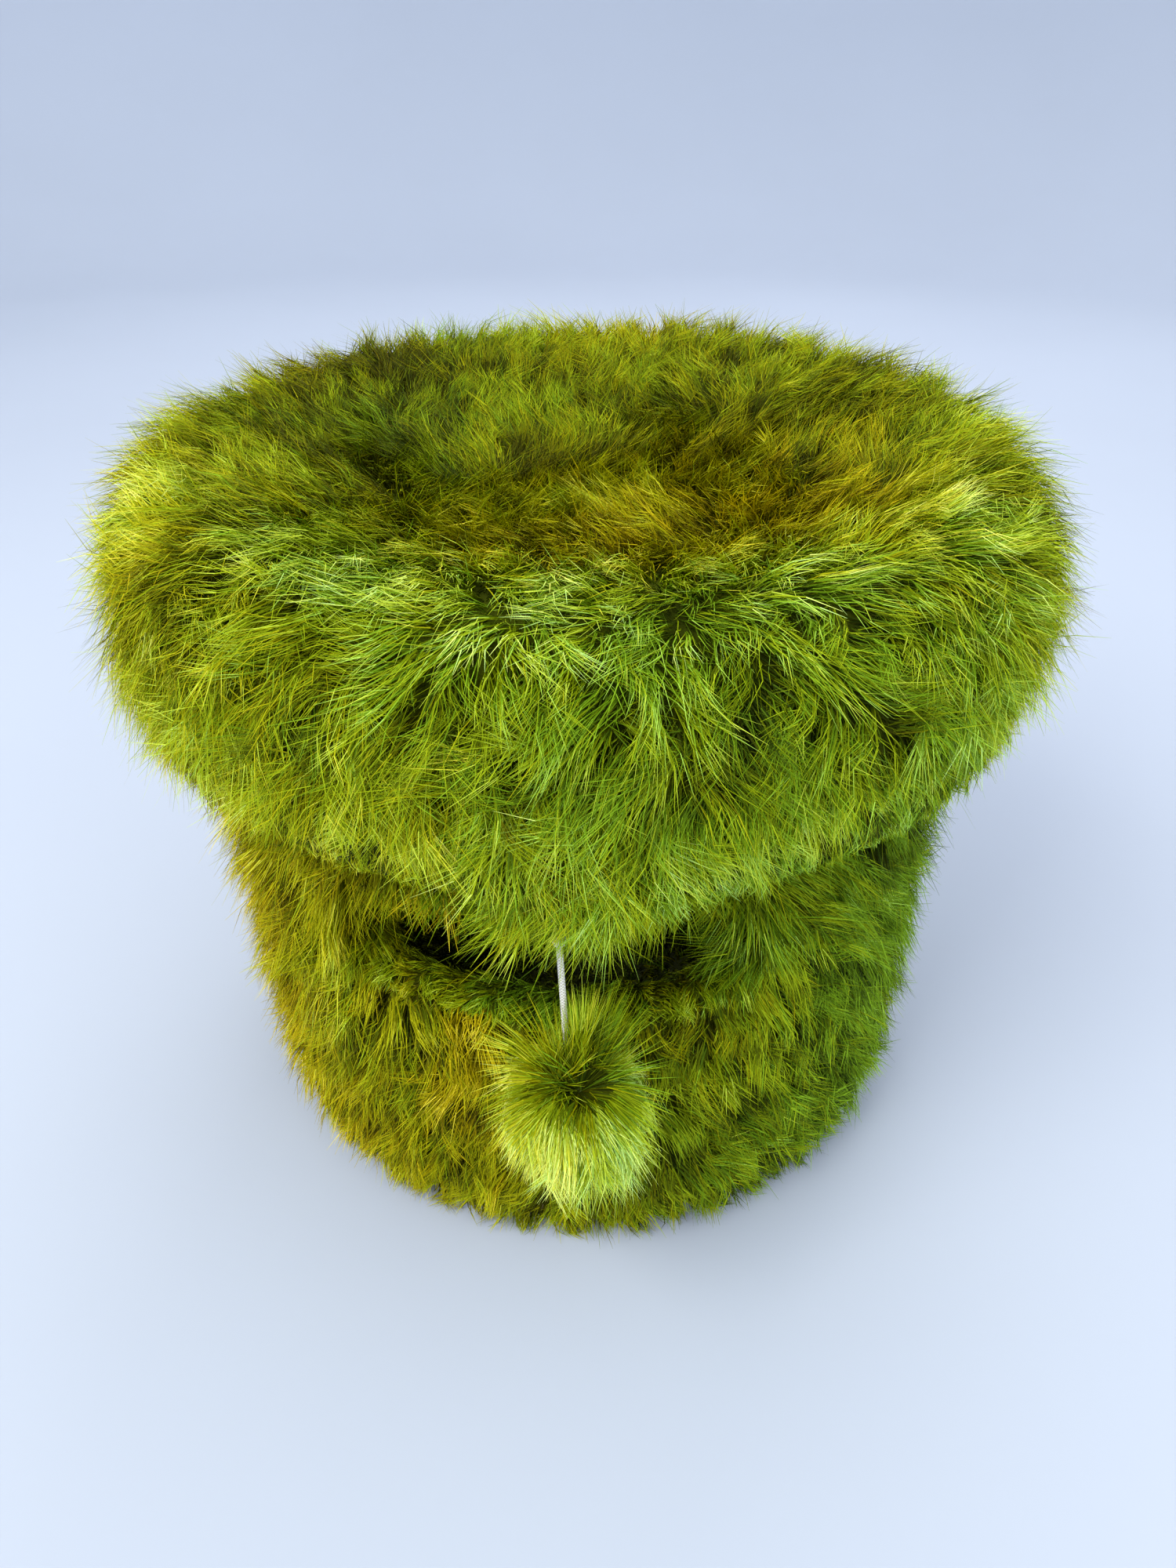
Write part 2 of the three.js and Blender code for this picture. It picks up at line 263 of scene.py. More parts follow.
def addBump(tree, shader, source, strength, distance):
    raised = tree.nodes.new("ShaderNodeBump")
    raised.inputs["Strength"].default_value = strength
    raised.inputs["Distance"].default_value = distance
    tree.links.new(source, raised.inputs["Height"])
    tree.links.new(raised.outputs["Normal"], shader.inputs["Normal"])


def mottled(name, dark, light, scale, roughness=0.8, bump=0.0, bumpScale=None, stretch=(1, 1, 1),
            **numbers):
    # two colours mixed by noise on the object's own coordinates, with a matching roughness and bump
    material, tree, shader = newSurface(name, **numbers)
    place = addNode(tree, "ShaderNodeTexCoord").outputs["Object"]
    shaped = addNode(tree, "ShaderNodeMapping", [place, None, None, stretch]).outputs[0]
    low, high, spread = 0.3, 0.7, 0.08
    cloud = addNoise(tree, shaped, scale, 4)
    addRamp(tree, shader, cloud, dark, light, low, high)
    rough = addNode(tree, "ShaderNodeMapRange", [cloud, low, high, roughness - spread, roughness + spread])
    tree.links.new(rough.outputs[0], shader.inputs["Roughness"])
    if bump:
        addBump(tree, shader, addNoise(tree, shaped, bumpScale, 3), bump, 0.001)
    return material


braid = {
    "slant": 5.0,  # threads met on a way round the cord
    "threads": 900.0,  # to a metre of its length
    # the gaps between the threads, painted darker as shade
    "gap": (196, 190, 168),
    "thread": (250, 248, 240),
    "relief": 0.0002,
}


def cordFinish(name, setup):
    # a fine round braid: two sets of slanting threads over the tube's own UV map, the gaps between them painted
    # darker as shade
    material, tree, shader = newSurface(name, roughness=0.6, sheen_weight=0.25, sheen_roughness=0.4)
    uv = addNode(tree, "ShaderNodeUVMap", uv_map="along")
    split = addNode(tree, "ShaderNodeSeparateXYZ", [uv.outputs[0]])
    threads = []
    for way in (1, -1):
        turned = addNode(tree, "ShaderNodeMath", [split.outputs["X"], setup["slant"] * way],
                         operation="MULTIPLY")
        run = addNode(tree, "ShaderNodeMath", [split.outputs["Y"], setup["threads"], turned.outputs[0]],
                      operation="MULTIPLY_ADD")
        wave = addNode(tree, "ShaderNodeMath", [run.outputs[0], 2 * math.pi], operation="MULTIPLY")
        threads.append(addNode(tree, "ShaderNodeMath", [wave.outputs[0]], operation="SINE").outputs[0])
    crossed = addNode(tree, "ShaderNodeMath", threads, operation="MAXIMUM").outputs[0]
    addRamp(tree, shader, crossed, setup["gap"], setup["thread"], 0.05, 1.0)
    addBump(tree, shader, crossed, 0.35, setup["relief"])
    return material


furColours = {
    # how a hair looks halfway up, from the yellowest green to the bluest
    "families": {
        "gold": (178, 160, 0),
        "olive": (158, 157, 0),
        "leaf": (138, 156, 6),
        "moss": (114, 150, 16),
    },
    # (brightness, added white) from the root to the tip; the darker root tones are partly painted shade among the
    # roots, the added white partly a painted highlight on the tips
    "tones": [(0.42, 0), (0.7, 0), (0.95, 0), (1.1, 12), (1.14, 44), (1.08, 84)],
    "specular": 0.06,
}


def furShades(colours):
    shades = []
    for family, colour in colours["families"].items():
        for step, (brightness, white) in enumerate(colours["tones"]):
            shade, tree, shader = newSurface(f"fur_{family}_{step}", roughness=0.6)
            dyed = [min(255, part * brightness + white * (1 if part > 60 else 1.4)) for part in colour]
            shader.inputs["Base Color"].default_value = linear(*dyed)
            shader.inputs["Specular IOR Level"].default_value = colours["specular"]
            shades.append(shade)
    return shades


furMaterials = furShades(furColours)
# each has two colours and the mottling's scale, then a roughness, a bump and the bump's scale
backing = mottled("fur_backing", (44, 52, 2), (76, 86, 5), 60, 0.95, 0.6, 500, specular_ior_level=0.1)
denPlush = mottled("den_plush", (62, 72, 8), (96, 108, 18), 90, 0.95, 0.7, 900, sheen_weight=0.3)
card = mottled("wound_card", (128, 98, 62), (168, 136, 94), 30, 0.88, 0.4, 700, stretch=(1, 1, 12))
fibreboard = mottled("fibreboard", (150, 116, 74), (186, 152, 106), 120, 0.8, 0.5, 900)
seatFoam = mottled("cell_foam", (214, 204, 172), (238, 230, 204), 200, 0.95, 0.8, 1200)
wadding = mottled("wadding", (222, 220, 210), (246, 245, 238), 90, 0.98, 0.8, 300)
baseCloth = mottled("base_cloth", (18, 18, 18), (38, 38, 37), 400, 0.95, 0.4, 2000)
footRubber = mottled("foot_rubber", (18, 18, 19), (34, 34, 35), 150, 0.7, 0.25, 900)
zinc = mottled("zinc_steel", (160, 164, 170), (206, 208, 210), 220, 0.34, 0.15, 1500, metallic=1.0)
yarn = mottled("pompom_yarn", (40, 50, 8), (84, 98, 24), 500, 0.9, 0.6, 1800)
cordCloth = cordFinish("white_cord", braid)
print("materials made")


cordSetup = {
    "radius": 0.0012,
    "sides": 12,
    "loopRadius": 0.0045,
    "loopDrop": 0.0017,  # from the eye's lowest wire to the loop's middle
    "knotLength": 0.005,
    "knotTurns": 3,
    "knotWire": 0.0009,  # half as thick as a turn of the knot
    "knotRadius": 0.0014,
    "gap": 0.0003,
    "coreRadius": 0.012,
}

toyTurn = Vector((0, 0, -1)).rotation_difference(hangWay)
toyMatrix = Matrix.Translation(pivot) @ toyTurn.to_matrix().to_4x4()
pompomDrop = (pompomCentre - pivot).length
knotTop = cordSetup["loopDrop"] + cordSetup["loopRadius"] + cordSetup["radius"] + cordSetup["gap"]
cordTop = knotTop + cordSetup["knotLength"] + cordSetup["gap"]
cordBottom = pompomDrop + cordSetup["coreRadius"] + 0.001


def onToy(x, y, drop):
    # a place on the hanging toy, with drop measured down the cord from the eye
    return toyMatrix @ Vector((x, y, -drop))


def makeKnot(name, top, setup):
    # cord wound in a short barrel round itself
    line = []
    steps = setup["knotTurns"] * 16
    wire = setup["knotWire"]
    for i in range(steps + 1):
        angle = 2 * math.pi * i / 16
        share = i / steps
        radius = setup["knotRadius"] + 0.0002 * math.sin(math.pi * share)
        drop = top + wire + (setup["knotLength"] - 2 * wire) * share
        line.append(onToy(radius * math.cos(angle), radius * math.sin(angle), drop))
    return addPiece(name, tubeAlong(name, line, wire, 10), [cordCloth])


def makeCord(setup):
    steps = 24
    line = [onToy(0, 0, mix(cordTop, cordBottom, i / steps)) for i in range(steps + 1)]
    mesh = tubeAlong("hanging_cord", line, setup["radius"], setup["sides"])
    cord = addPiece("hanging_cord", mesh, [cordCloth])
    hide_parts("toy_cord")
    ring = []
    for i in range(36):
        angle = 2 * math.pi * i / 36
        down = setup["loopDrop"] + setup["loopRadius"] * math.cos(angle)
        ring.append(onToy(0, setup["loopRadius"] * math.sin(angle), down))
    mesh = tubeAlong("cord_eye_loop", ring, setup["radius"], setup["sides"], True)
    loop = addPiece("cord_eye_loop", mesh, [cordCloth])
    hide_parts("cord_loop")
    upper = makeKnot("upper_knot", knotTop, setup)
    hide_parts("cord_knot")
    lower = makeKnot("lower_knot", cordBottom + setup["gap"], setup)
    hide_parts("stop_knot")
    for piece, body in ((cord, "cord"), (loop, "loop"), (upper, "cord"), (lower, "pompom")):
        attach(piece, body)
    return cord, line, [loop, upper, lower]


cord, cordLine, cordKnots = makeCord(cordSetup)
print("cord made")


# Each skin carries what its hair does: comb (the way it lies), pile (its length in metres),
# lean (its angle to the skin's normal at the tip), cover (how thick it grows), hue (0 gold to 1 moss)
# and pale (how many tones lighter it is: tone that differs at random, plus painted light and painted shade laid on
# by place).

def dressSkin(mesh, rule):
    normals = [vertex.normal.copy() for vertex in mesh.vertices]
    plain = ("pile", "lean", "cover", "hue", "toneAndPaintedLight")
    for name in ("comb", *plain):
        mesh.attributes.new(name, "FLOAT_VECTOR" if name == "comb" else "FLOAT", "POINT")
    layers = {name: mesh.attributes[name] for name in ("comb", *plain)}
    for vertex in mesh.vertices:
        facts = rule(vertex.co, normals[vertex.index])
        normal = normals[vertex.index]
        comb = facts["comb"] - normal * facts["comb"].dot(normal)
        comb = comb.normalized() if comb.length > 1e-6 else normal.orthogonal().normalized()
        layers["comb"].data[vertex.index].vector = comb
        for name in plain:
            layers[name].data[vertex.index].value = facts[name]


furInputs = {
    "Strands": 600000.0,  # to a square metre
    "Locks": 15000.0,  # to a square metre
    "Seed": 1.0,
    "Width": 0.0007,
    "Gather": 0.8,  # how far a lock's tips close up
    "Swirl": 0.5,  # how far a lock turns from the comb, in radians
    "Bend": 0.3,  # how far a lock curls to one side, as a share of its length
    "Wave": 0.06,  # a strand's side to side wave, as a share of its length
    "Frizz": 0.1,
    "Undercoat": 0.4,  # the share of short curly hairs between the locks
    "Root Lean": 0.5,
    "Floor": 0.001,  # no strand reaches lower
    "Reach": 0.2155,  # no strand reaches further to either side
    "From": -4.0,  # the sector that grows, in radians round the upright axis
    "To": 4.0,
}


def furTree(name, shades, segments=3):
    tree = bpy.data.node_groups.new(name, "GeometryNodeTree")
    tree.interface.new_socket("Skin", in_out="INPUT", socket_type="NodeSocketGeometry")
    for label, value in furInputs.items():
        made = tree.interface.new_socket(label, in_out="INPUT", socket_type="NodeSocketFloat")
        made.default_value = value
    tree.interface.new_socket("Fur", in_out="OUTPUT", socket_type="NodeSocketGeometry")
    given = tree.nodes.new("NodeGroupInput").outputs

    def maths(operation, *values):
        return output(addNode(tree, "ShaderNodeMath", values, operation=operation))

    def vectors(operation, *values):
        return output(addNode(tree, "ShaderNodeVectorMath", values, operation=operation))

    def named(name, kind="FLOAT"):
        return output(addNode(tree, "GeometryNodeInputNamedAttribute", [name], data_type=kind), "Attribute")

    def store(geometry, name, value, kind="FLOAT", domain="POINT"):
        values = [geometry, None, name, value]
        made = addNode(tree, "GeometryNodeStoreNamedAttribute", values, data_type=kind, domain=domain)
        return output(made)

    def randomNumber(low, high, seed, kind="FLOAT"):
        return output(addNode(tree, "FunctionNodeRandomValue", [low, high, None, seed], data_type=kind))

    seed = maths("MULTIPLY", given["Seed"], 10.0)
    place = output(tree.nodes.new("GeometryNodeInputPosition"))

    # the middle of each lock, spread over the skin
    lockSeed = maths("ADD", seed, 1.0)
    locks = addNode(tree, "GeometryNodeDistributePointsOnFaces", distribute_method="RANDOM")
    tree.links.new(given["Skin"], locks.inputs["Mesh"])
    tree.links.new(given["Locks"], locks.inputs["Density"])
    tree.links.new(lockSeed, locks.inputs["Seed"])

    # the strands' roots
    thick = maths("MULTIPLY", given["Strands"], named("cover"))
    roots = addNode(tree, "GeometryNodeDistributePointsOnFaces", distribute_method="RANDOM")
    tree.links.new(given["Skin"], roots.inputs["Mesh"])
    tree.links.new(thick, roots.inputs["Density"])
    tree.links.new(seed, roots.inputs["Seed"])
    grown = store(output(roots, "Points"), "up", output(roots, "Normal"), "FLOAT_VECTOR")

    # what a strand takes from its lock
    lockPoints = output(locks, "Points")
    nearest = output(addNode(tree, "GeometryNodeSampleNearest", [lockPoints, place], domain="POINT"))

    def fromLock(value, kind="FLOAT"):
        made = addNode(tree, "GeometryNodeSampleIndex", [lockPoints, value, nearest],
                       data_type=kind, domain="POINT")
        return output(made)

    lockPlace = fromLock(place, "FLOAT_VECTOR")
    lockTurn = fromLock(randomNumber(-1.0, 1.0, 3))
    lockSize = fromLock(randomNumber(0.66, 1.14, 4))
    lockPhase = fromLock(randomNumber(0.0, 1.0, 5))
    lockTone = fromLock(randomNumber(-0.9, 0.9, 6))
    lockLift = fromLock(randomNumber(-0.25, 0.12, 7))
    lockHue = fromLock(randomNumber(-0.12, 0.12, 8))
    lockBend = fromLock(randomNumber(-1.0, 1.0, 9))

    up = named("up", "FLOAT_VECTOR")
    ownTurn = maths("MULTIPLY", randomNumber(-1.0, 1.0, 11), 0.22)
    turn = maths("MULTIPLY_ADD", lockTurn, given["Swirl"], ownTurn)
    comb = addNode(tree, "ShaderNodeVectorRotate", rotation_type="AXIS_ANGLE")
    tree.links.new(named("comb", "FLOAT_VECTOR"), comb.inputs["Vector"])
    tree.links.new(up, comb.inputs["Axis"])
    tree.links.new(turn, comb.inputs["Angle"])
    combed = vectors("NORMALIZE", output(comb))
    short = maths("LESS_THAN", randomNumber(0.0, 1.0, 20), given["Undercoat"])
    full = maths("MULTIPLY", lockSize, randomNumber(0.78, 1.05, 12))
    sizes = [short, full, randomNumber(0.38, 0.8, 21)]
    ownSize = output(addNode(tree, "ShaderNodeMix", sizes, data_type="FLOAT"))
    span = maths("MULTIPLY", named("pile"), ownSize)
    tilt = randomNumber(-1.0, 1.0, 13)
    flat = vectors("CROSS_PRODUCT", combed, up)
    acrossFlat = vectors("SCALE", flat, maths("COSINE", tilt))
    acrossUp = vectors("SCALE", up, maths("SINE", tilt))
    side = vectors("ADD", acrossFlat, acrossUp)
    leanEnd = maths("ADD", named("lean"), maths("ADD", lockLift, randomNumber(-0.12, 0.12, 14)))
    leanRoot = maths("ADD", given["Root Lean"], randomNumber(-0.15, 0.15, 15))
    tone = maths("ADD", maths("ADD", lockTone, named("toneAndPaintedLight")), randomNumber(-0.5, 0.5, 16))
    tone = maths("MULTIPLY_ADD", short, -0.35, tone)
    hue = maths("ADD", named("hue"), maths("ADD", lockHue, randomNumber(-0.15, 0.15, 17)))
    fuzz = randomNumber((-1, -1, -1), (1, 1, 1), 18, "FLOAT_VECTOR")
    fuzz = vectors("SCALE", fuzz, maths("MULTIPLY_ADD", short, 0.36, given["Frizz"]))
    loose = maths("GREATER_THAN", randomNumber(0.0, 1.0, 19), 0.05)
    held = maths("MULTIPLY", maths("MULTIPLY_ADD", short, -0.7, 1.0), loose)
    gather = maths("MULTIPLY", given["Gather"], held)
    pull = vectors("SCALE", vectors("SUBTRACT", lockPlace, place), gather)
    bend = vectors("SCALE", flat, maths("MULTIPLY", lockBend, given["Bend"]))

    directions = {"root": place, "combed": combed, "side": side, "pull": pull, "fuzz": fuzz, "bend": bend}
    numbers = {"span": span, "leanEnd": leanEnd, "leanRoot": leanRoot, "phase": lockPhase, "tone": tone,
               "shadeHue": hue}
    for label, value in directions.items():
        grown = store(grown, label, value, "FLOAT_VECTOR")
    for label, value in numbers.items():
        grown = store(grown, label, value)

    # only this piece's sector
    split = addNode(tree, "ShaderNodeSeparateXYZ", [place])
    bearing = maths("ARCTAN2", split.outputs["Y"], split.outputs["X"])
    after = maths("GREATER_THAN", bearing, given["From"])
    before = maths("LESS_THAN", bearing, given["To"])
    inside = maths("MULTIPLY", after, before)
    kept = addNode(tree, "GeometryNodeSeparateGeometry", [grown, inside], domain="POINT")

    # one flat blade, its rows from root to tip
    blade = addNode(tree, "GeometryNodeMeshGrid", [1.0, 1.0, 2, segments + 1])
    bladePlace = addNode(tree, "ShaderNodeSeparateXYZ", [place])
    bladeMesh = store(output(blade, "Mesh"), "across", bladePlace.outputs["X"])
    bladeMesh = store(bladeMesh, "along", maths("ADD", bladePlace.outputs["Y"], 0.5))
    planted = addNode(tree, "GeometryNodeInstanceOnPoints")
    tree.links.new(kept.outputs["Selection"], planted.inputs["Points"])
    tree.links.new(bladeMesh, planted.inputs["Instance"])
    real = output(addNode(tree, "GeometryNodeRealizeInstances", [output(planted)]))

    # the strand's arc, from its root's lean to its tip's, then its lock, wave and frizz
    along = named("along")
    leanA, leanB = named("leanRoot"), named("leanEnd")
    turnBy = maths("MAXIMUM", maths("SUBTRACT", leanB, leanA), 0.05)
    leanNow = maths("MULTIPLY_ADD", turnBy, along, leanA)
    forward = maths("DIVIDE", maths("SUBTRACT", maths("COSINE", leanA), maths("COSINE", leanNow)), turnBy)
    lifted = maths("DIVIDE", maths("SUBTRACT", maths("SINE", leanNow), maths("SINE", leanA)), turnBy)
    length = named("span")
    sideways = named("side", "FLOAT_VECTOR")
    power = maths("POWER", along, 1.3)
    phase = maths("MULTIPLY_ADD", along, 1.15, named("phase"))
    swing = maths("SINE", maths("MULTIPLY", phase, 2 * math.pi))
    waved = maths("MULTIPLY", maths("MULTIPLY", swing, along), maths("MULTIPLY", given["Wave"], length))
    late = maths("MULTIPLY", maths("POWER", along, 2.0), length)
    taper = maths("SUBTRACT", 1.0, maths("MULTIPLY", maths("POWER", along, 2.2), 0.88))
    wide = maths("MULTIPLY", maths("MULTIPLY", named("across"), given["Width"]), taper)
    terms = [
        (named("combed", "FLOAT_VECTOR"), maths("MULTIPLY", forward, length)),
        (named("up", "FLOAT_VECTOR"), maths("MULTIPLY", lifted, length)),
        (named("pull", "FLOAT_VECTOR"), power),
        (named("fuzz", "FLOAT_VECTOR"), late),
        (named("bend", "FLOAT_VECTOR"), late),
        (sideways, maths("ADD", waved, wide)),
    ]
    target = named("root", "FLOAT_VECTOR")
    for direction, amount in terms:
        target = vectors("ADD", target, vectors("SCALE", direction, amount))
    far = 10.0  # metres, past any strand
    reachLeft = maths("MULTIPLY", given["Reach"], -1.0)
    low = addNode(tree, "ShaderNodeCombineXYZ", [reachLeft, -far, given["Floor"]])
    high = addNode(tree, "ShaderNodeCombineXYZ", [given["Reach"], far, far])
    target = vectors("MINIMUM", vectors("MAXIMUM", target, output(low)), output(high))
    shaped = addNode(tree, "GeometryNodeSetPosition")
    tree.links.new(real, shaped.inputs["Geometry"])
    tree.links.new(target, shaped.inputs["Position"])
    hair = output(shaped)

    # shade number = family * tones + tone, paler towards the tip
    tones = len(furColours["tones"])
    families = len(furColours["families"])
    row = maths("MULTIPLY_ADD", along, 3.6, maths("ADD", named("tone"), -0.2))
    toneNow = maths("MINIMUM", maths("MAXIMUM", maths("FLOOR", row), 0.0), tones - 1.0)
    family = maths("FLOOR", maths("MULTIPLY", named("shadeHue"), float(families)))
    family = maths("MINIMUM", maths("MAXIMUM", family, 0.0), families - 1.0)
    shade = maths("MULTIPLY_ADD", family, float(tones), toneNow)
    shade = output(addNode(tree, "GeometryNodeFieldOnDomain", [shade], data_type="FLOAT", domain="FACE"))
    hair = store(hair, "shade", maths("ROUND", shade), "FLOAT", "FACE")
    for number, material in enumerate(shades):
        chosen = maths("COMPARE", named("shade"), float(number), 0.4)
        dyed = tree.nodes.new("GeometryNodeSetMaterial")
        tree.links.new(hair, dyed.inputs["Geometry"])
        tree.links.new(chosen, dyed.inputs["Selection"])
        dyed.inputs["Material"].default_value = material
        hair = output(dyed)
    end = tree.nodes.new("NodeGroupOutput")
    tree.links.new(hair, end.inputs["Fur"])
    return tree


longFur = furTree("long_fur", furMaterials)


def finishedMesh(piece):
    return bpy.data.meshes.new_from_object(piece.evaluated_get(bpy.context.evaluated_depsgraph_get()))


def grow(name, skin, settings, body):
    # runs the tree on a skin and keeps its result as a plain mesh
    modifier = skin.modifiers.new("fur", "NODES")
    modifier.node_group = longFur
    for item in longFur.interface.items_tree:
        if item.in_out == "INPUT" and item.name in settings:
            modifier[item.identifier] = float(settings[item.name])
    skin.update_tag()
    bpy.context.view_layer.update()
    mesh = finishedMesh(skin)
    skin.modifiers.remove(modifier)
    wanted = ("material_index", "sharp_face")
    for spare in [layer.name for layer in mesh.attributes if not layer.is_required]:
        if spare not in wanted:
            mesh.attributes.remove(mesh.attributes[spare])
    mesh.name = name
    piece = addPiece(name, mesh)
    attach(piece, body)
    print(name, len(mesh.polygons), "faces")
    return piece


def growSectors(name, skin, settings, body, sectors):
    # the first and last sector reach past the half turn, so no bearing is left out
    for i in range(sectors):
        start = -math.pi + 2 * math.pi * i / sectors
        part = dict(settings, From=start - (1 if i == 0 else 0), To=start + 2 * math.pi / sectors)
        if i == sectors - 1:
            part["To"] += 1
        grow(f"{name}_{i + 1}", skin, part, body)


seatSetup = {
    "side": 0.180,  # the backing's radius
    "crest": 0.311,
    "crestRadius": 0.149,
    "backRise": 0.0035,  # how much higher the rim stands at the back
    "lopsided": 0.006,  # how far the back leans to the right
    "ringHalfWidth": 0.030,
    "overRing": 0.002,  # the least the cover lies outside the stuffed ring
    "middle": 0.301,
    "hem": 0.152,
    "lump": 0.0022,
    "around": 180,
    "rows": 46,
}

seatHair = {"Strands": 720000, "Locks": 16000, "Seed": 2, "Width": 0.0005, "Gather": 0.88, "Swirl": 0.85,
            "Bend": 0.55, "Wave": 0.07, "Frizz": 0.15, "Root Lean": 0.64, "Undercoat": 0.6}


def inFront(place):
    return 1 if place.y < 0 else 0


def seatRule(place, normal):
    radius = math.hypot(place.x, place.y)
    outward = Vector((place.x, place.y, 0)) / 0.13
    outward = outward.normalized() if outward.length > 1 else outward
    rim = smooth(0.11, 0.168, radius)
    under = smooth(0.27, 0.228, place.z)
    loose = mix(1.0, 0.14, smooth(0.03, 0.14, radius))
    stray = noise.noise_vector(place * 17 + Vector((4, 4, 4))) * 2.2 * loose
    swirl = noise.noise(place * 13) * mix(1.8, 1.1, rim) + noise.noise(place * 45 + Vector((5, 1, 2))) * 0.9
    way = Matrix.Rotation(swirl, 3, normal) @ (outward + stray + Vector((0, 0, -1.2 * rim)))
    wide = noise.noise(place * 9 + Vector((3, 7, 1)))
    patch = noise.noise(place * 24 + Vector((8, 3, 5)))
    front = smooth(-0.02, -0.16, place.y) * rim
    nearTop = smooth(0.02, -0.1, place.y) * (1 - rim)
    edge = smooth(0.1, 0.18, abs(place.x))
    left = smooth(-0.06, -0.17, place.x)
    pressed = smooth(1.0, 0.3, abs(math.atan2(place.y, place.x) + 0.6)) * smooth(0.27, 0.24, place.z)
    tuft = smooth(0.065, 0.035, abs(place.x - 0.035)) * inFront(place)
    overCord = smooth(0.034, 0.012, abs(place.x - 0.016)) * inFront(place)
    crest = smooth(0.035, 0.005, abs(radius - 0.15)) * smooth(0.0, -0.08, place.y)
    crest *= smooth(0.285, 0.3, place.z)
    behind = smooth(0.06, 0.15, place.y)
    # the top left of the middle, where the seat's dish lies in shade: painted darker and greener as shade
    paintedTopShade = smooth(0.0, -0.1, place.x) * smooth(0.17, 0.13, radius) * smooth(0.28, 0.3, place.z)
    gap = smooth(0.02, -0.02, place.x) * smooth(-0.12, -0.09, place.x)
    bare = front * (1 - tuft) * mix(0.06, 0.22, gap)
    return {
        "comb": way,
        "pile": mix(0.02, mix(0.027, 0.036, smooth(0.3, 0.26, place.z)), rim) * (1 + 0.14 * wide)
        * mix(1.0, mix(0.72, 0.42, front) + 0.13 * tuft + 0.4 * overCord - bare, under)
        * mix(1.0, 0.62, pressed) * (1 - 0.14 * crest)
        * (1 - 0.5 * smooth(0.23, 0.217, place.z) * front * (1 - overCord)),
        "lean": mix(0.95, 1.38, smooth(0.04, 0.16, radius)) + 0.14 * wide + 0.06 * pressed,
        "cover": 1.0,
        "hue": 0.46 + 0.2 * wide + 0.1 * patch + front * (0.2 + 2.0 * place.x) - 0.16 * nearTop - 0.1 * left
        + 0.12 * paintedTopShade,
        # tone offsets: patch is tone that differs at random; the front hem, the side rims, the near top, the crest
        # and the back are painted lighter as light falling on them, the middle and the top left of the middle
        # painted darker as shade in the dish
        "toneAndPaintedLight": 0.8 * front + 0.8 * edge + 0.5 * nearTop + 0.9 * patch + 0.9 * crest + 0.4 * behind
        + 0.4 * front * smooth(0.27, 0.24, place.z) - 0.2 * smooth(0.12, 0.05, radius) - 0.7 * paintedTopShade - 0.1,
    }


def stayOverRing(vertex, setup):
    # moves a point of the cover out of the stuffed ring, whose section is an ellipse
    middle = ringHigh.x - setup["ringHalfWidth"]
    wide = setup["ringHalfWidth"] + setup["overRing"]
    tall = (ringHigh.z - ringLow.z) / 2 + setup["overRing"]
    radius = math.hypot(vertex.co.x, vertex.co.y)
    height = vertex.co.z - (ringHigh.z + ringLow.z) / 2
    deep = math.hypot((radius - middle) / wide, height / tall)
    if radius > middle and 0 < deep < 1:
        wanted = middle + (radius - middle) / deep
        vertex.co.x *= wanted / radius
        vertex.co.y *= wanted / radius
        vertex.co.z += height / deep - height


def makeSeat(setup):
    side = setup["side"]
    line = throughPoints([
        (0, setup["middle"]),
        (0.05, setup["middle"] + 0.0015),
        (0.1, setup["middle"] + 0.006),
        (setup["crestRadius"], setup["crest"]),
        (0.169, setup["crest"] - 0.007),
        (side - 0.002, 0.288),
        (side, 0.262),
        (side + 0.001, 0.237),
        (side, 0.224),
        (boardHigh.x + 0.0025, boardLow.z + 0.001),
        (boardHigh.x - 0.002, seatBottom + 0.001),
        (setup["hem"], seatBottom + 0.001),
    ], setup["rows"])
    line[0][0] = 0.0
    mesh = revolve("seat_cover", [(p[0], p[1]) for p in line], setup["around"])
    for vertex in mesh.vertices:
        lump = noise.noise(vertex.co * 16) + 0.5 * noise.noise(vertex.co * 37)
        share = smooth(0.215, 0.24, vertex.co.z)
        vertex.co += vertex.normal * lump * setup["lump"] * share
        back = smooth(0.02, 0.15, vertex.co.y)
        vertex.co.z += setup["backRise"] * back * smooth(0.25, 0.3, vertex.co.z)
        vertex.co.x += setup["lopsided"] * back * share
        stayOverRing(vertex, setup)
    mesh.update()
    dressSkin(mesh, seatRule)
    skin = addPiece("seat_cover", mesh, [backing])
    growSectors("seat_fur", skin, seatHair, "stool", 6)
    thicken(skin, 0.002)
    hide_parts("seat_fur_cover")
    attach(skin, "stool")


makeSeat(seatSetup)
print("seat made")


drumSetup = {
    "skin": 0.1465,
    "top": drumTop - 0.003,
    "bottom": 0.0055,
    "around": 216,
    "rows": 56,
    "doorCorner": 0.028,
}

drumHair = {"Strands": 520000, "Locks": 14500, "Seed": 5, "Width": 0.00066, "Gather": 0.8, "Swirl": 0.7,
            "Bend": 0.34, "Wave": 0.06, "Frizz": 0.08, "Root Lean": 0.55, "Undercoat": 0.45}


doorMiddle = (bindingLow + bindingHigh) / 2
doorHalf = (bindingHigh - bindingLow) / 2


def doorDistance(x, z, corner=drumSetup["doorCorner"]):
    # how far a point is outside the doorway's edge, seen from the front
    dx = abs(x - doorMiddle.x) - (doorHalf.x - corner)
    dz = abs(z - doorMiddle.z) - (doorHalf.z - corner)
    outside = math.hypot(max(dx, 0), max(dz, 0)) + min(max(dx, dz), 0)
    return outside - corner


